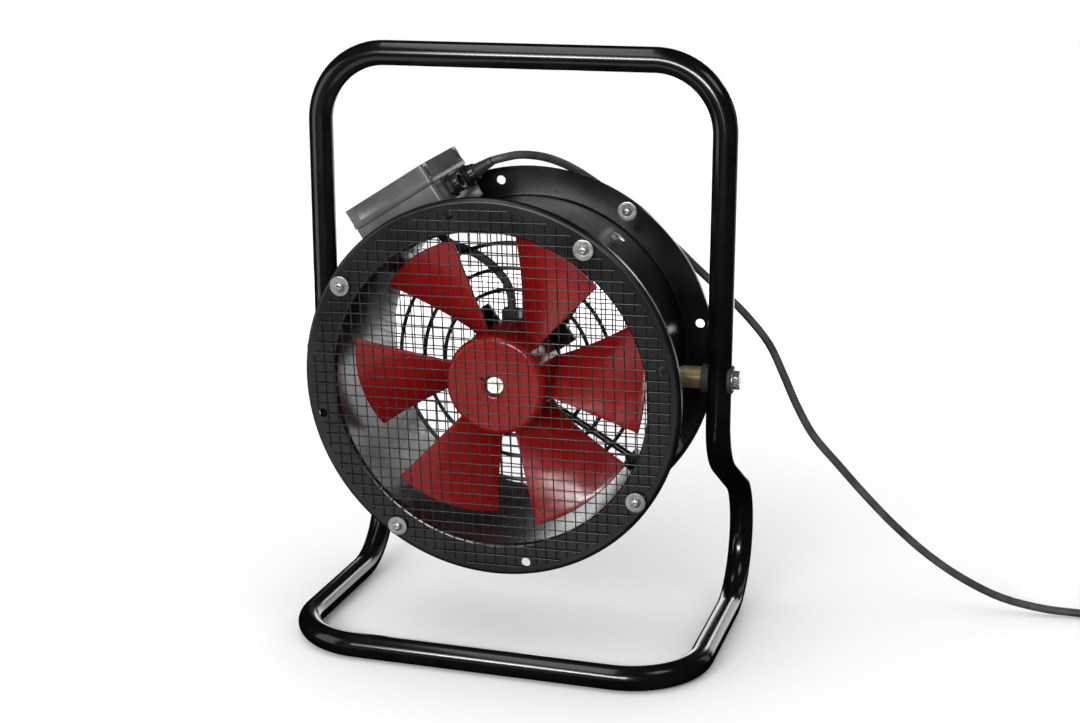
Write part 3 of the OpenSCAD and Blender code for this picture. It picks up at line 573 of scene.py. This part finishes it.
coat_nodes(["cable_grommet"], washer_rubber)
coat_nodes(["motor_cable_clamp"], plug_rubber)

# Terminal box: dark grey moulded base and lid with a fine grain, let-in panels on the lid's sides, notched
# corners for the lid screws and a thin seal between base and lid.
box_grey = new_material("box_grey", (0.042, 0.044, 0.047), 0.32)
vary(box_grey, add_noise(box_grey, 35), "Base Color", (0.032, 0.034, 0.036), (0.052, 0.054, 0.057))
add_bump(box_grey, add_noise(box_grey, 1600, 2), 0.25, 0.0003)
rounded_copy("box_shell", "box_base", "casing", box_grey, 0.0007)
rounded_copy("box_cover", "box_lid", "casing", box_grey, 0.0006)
rounded_copy("saddle_plate", "box_saddle", "casing", duct_black, 0.0005)
rounded_copy("cover_screws", "lid_screws", "casing", zinc, 0.0005)
coat_nodes(["box_screws"], zinc)
coat_nodes(["box_gasket", "gland_nuts"], plug_rubber)

# Cable glands: black nylon, each a hexagon with a grooved cap. The front one is spare and stands open; the
# rear one closes on the power cord, whose moulded sleeve tapers over its first 20 mm.
gland_black = new_material("gland_black", (0.006, 0.006, 0.006), 0.3)
vary(gland_black, add_noise(gland_black, 70), "Roughness", 0.25, 0.4)
add_bump(gland_black, add_noise(gland_black, 1100, 2), 0.2, 0.0002)
gland_hex = turned("gland_hex", [(7.9, 40), (7.9, 48.52), (11, 48.52), (11.8, 49.2), (11.8, 53.8), (11, 54.5),
                                 (7, 54.5), (7, 40), (7.9, 40)], 6)
# Grooves in the conical part of each cap, by their pitch and width in degrees
groove_pitch = 20
groove_width = 8
groove_depth = 0.0006
groove_low = 0.0557
groove_high = 0.0612
grip_radius = 0.0084
caps = []
for mouth, floor_height, outside in ((6.4, 52.5, 9.7), (4.6, 44, 8.7)):
    cap_rings = [(4.6, 44), (7.6, 44), (7.6, 54.52), (9.6, 54.52), (9.9, 55), (9.9, 55.6), (9.4, 55.9),
                 (outside, 60.8), (outside - 0.5, 61.7), (outside - 1, 62), (mouth + 0.3, 62), (mouth, 61.6),
                 (mouth, floor_height), (4.6, floor_height - 0.1), (4.6, 44)]
    cap = turned("gland_cap", cap_rings, 72)
    for v in cap.data.vertices:
        radius = math.hypot(v.co.x, v.co.y)
        groove = math.degrees(math.atan2(v.co.y, v.co.x)) % groove_pitch
        if groove_low < v.co.z < groove_high and radius > grip_radius and groove < groove_width:
            v.co.x *= 1 - groove_depth / radius
            v.co.y *= 1 - groove_depth / radius
    caps.append(cap)
to_box_side = Matrix.Rotation(math.radians(90), 4, "Y")
gland_distance = 0.188
gland_places = [box_frame @ Matrix.Translation((0, gland_distance, z)) @ to_box_side for z in (0.022, -0.025)]
glands = join_copies("gland_pair", [(gland_hex, m) for m in gland_places] + list(zip(caps, gland_places)),
                     gland_black)
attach(glands, "casing")
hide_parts("cable_glands")

sleeve_rings = [(4.3, 61), (6.6, 61), (6.9, 62.1), (6.9, 64)]
rib_pitch = 3
rib_taper = 0.34
for rib in range(5):
    start = 64.6 + rib_pitch * rib
    size = 6.5 - rib_taper * rib
    sleeve_rings += [(size - 0.7, start), (size - 0.75, start + 0.8), (size, start + 1.2),
                     (size - 0.05, start + 2.4)]
sleeve_rings += [(4.75, 80), (4.6, 82), (4.3, 82), (4.3, 61)]
sleeve = turned("cord_sleeve", sleeve_rings, 32)
sleeve.data.transform(gland_places[1])
sleeve.data.materials.append(plug_rubber)
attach(sleeve, "casing")
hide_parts("cord_boot")
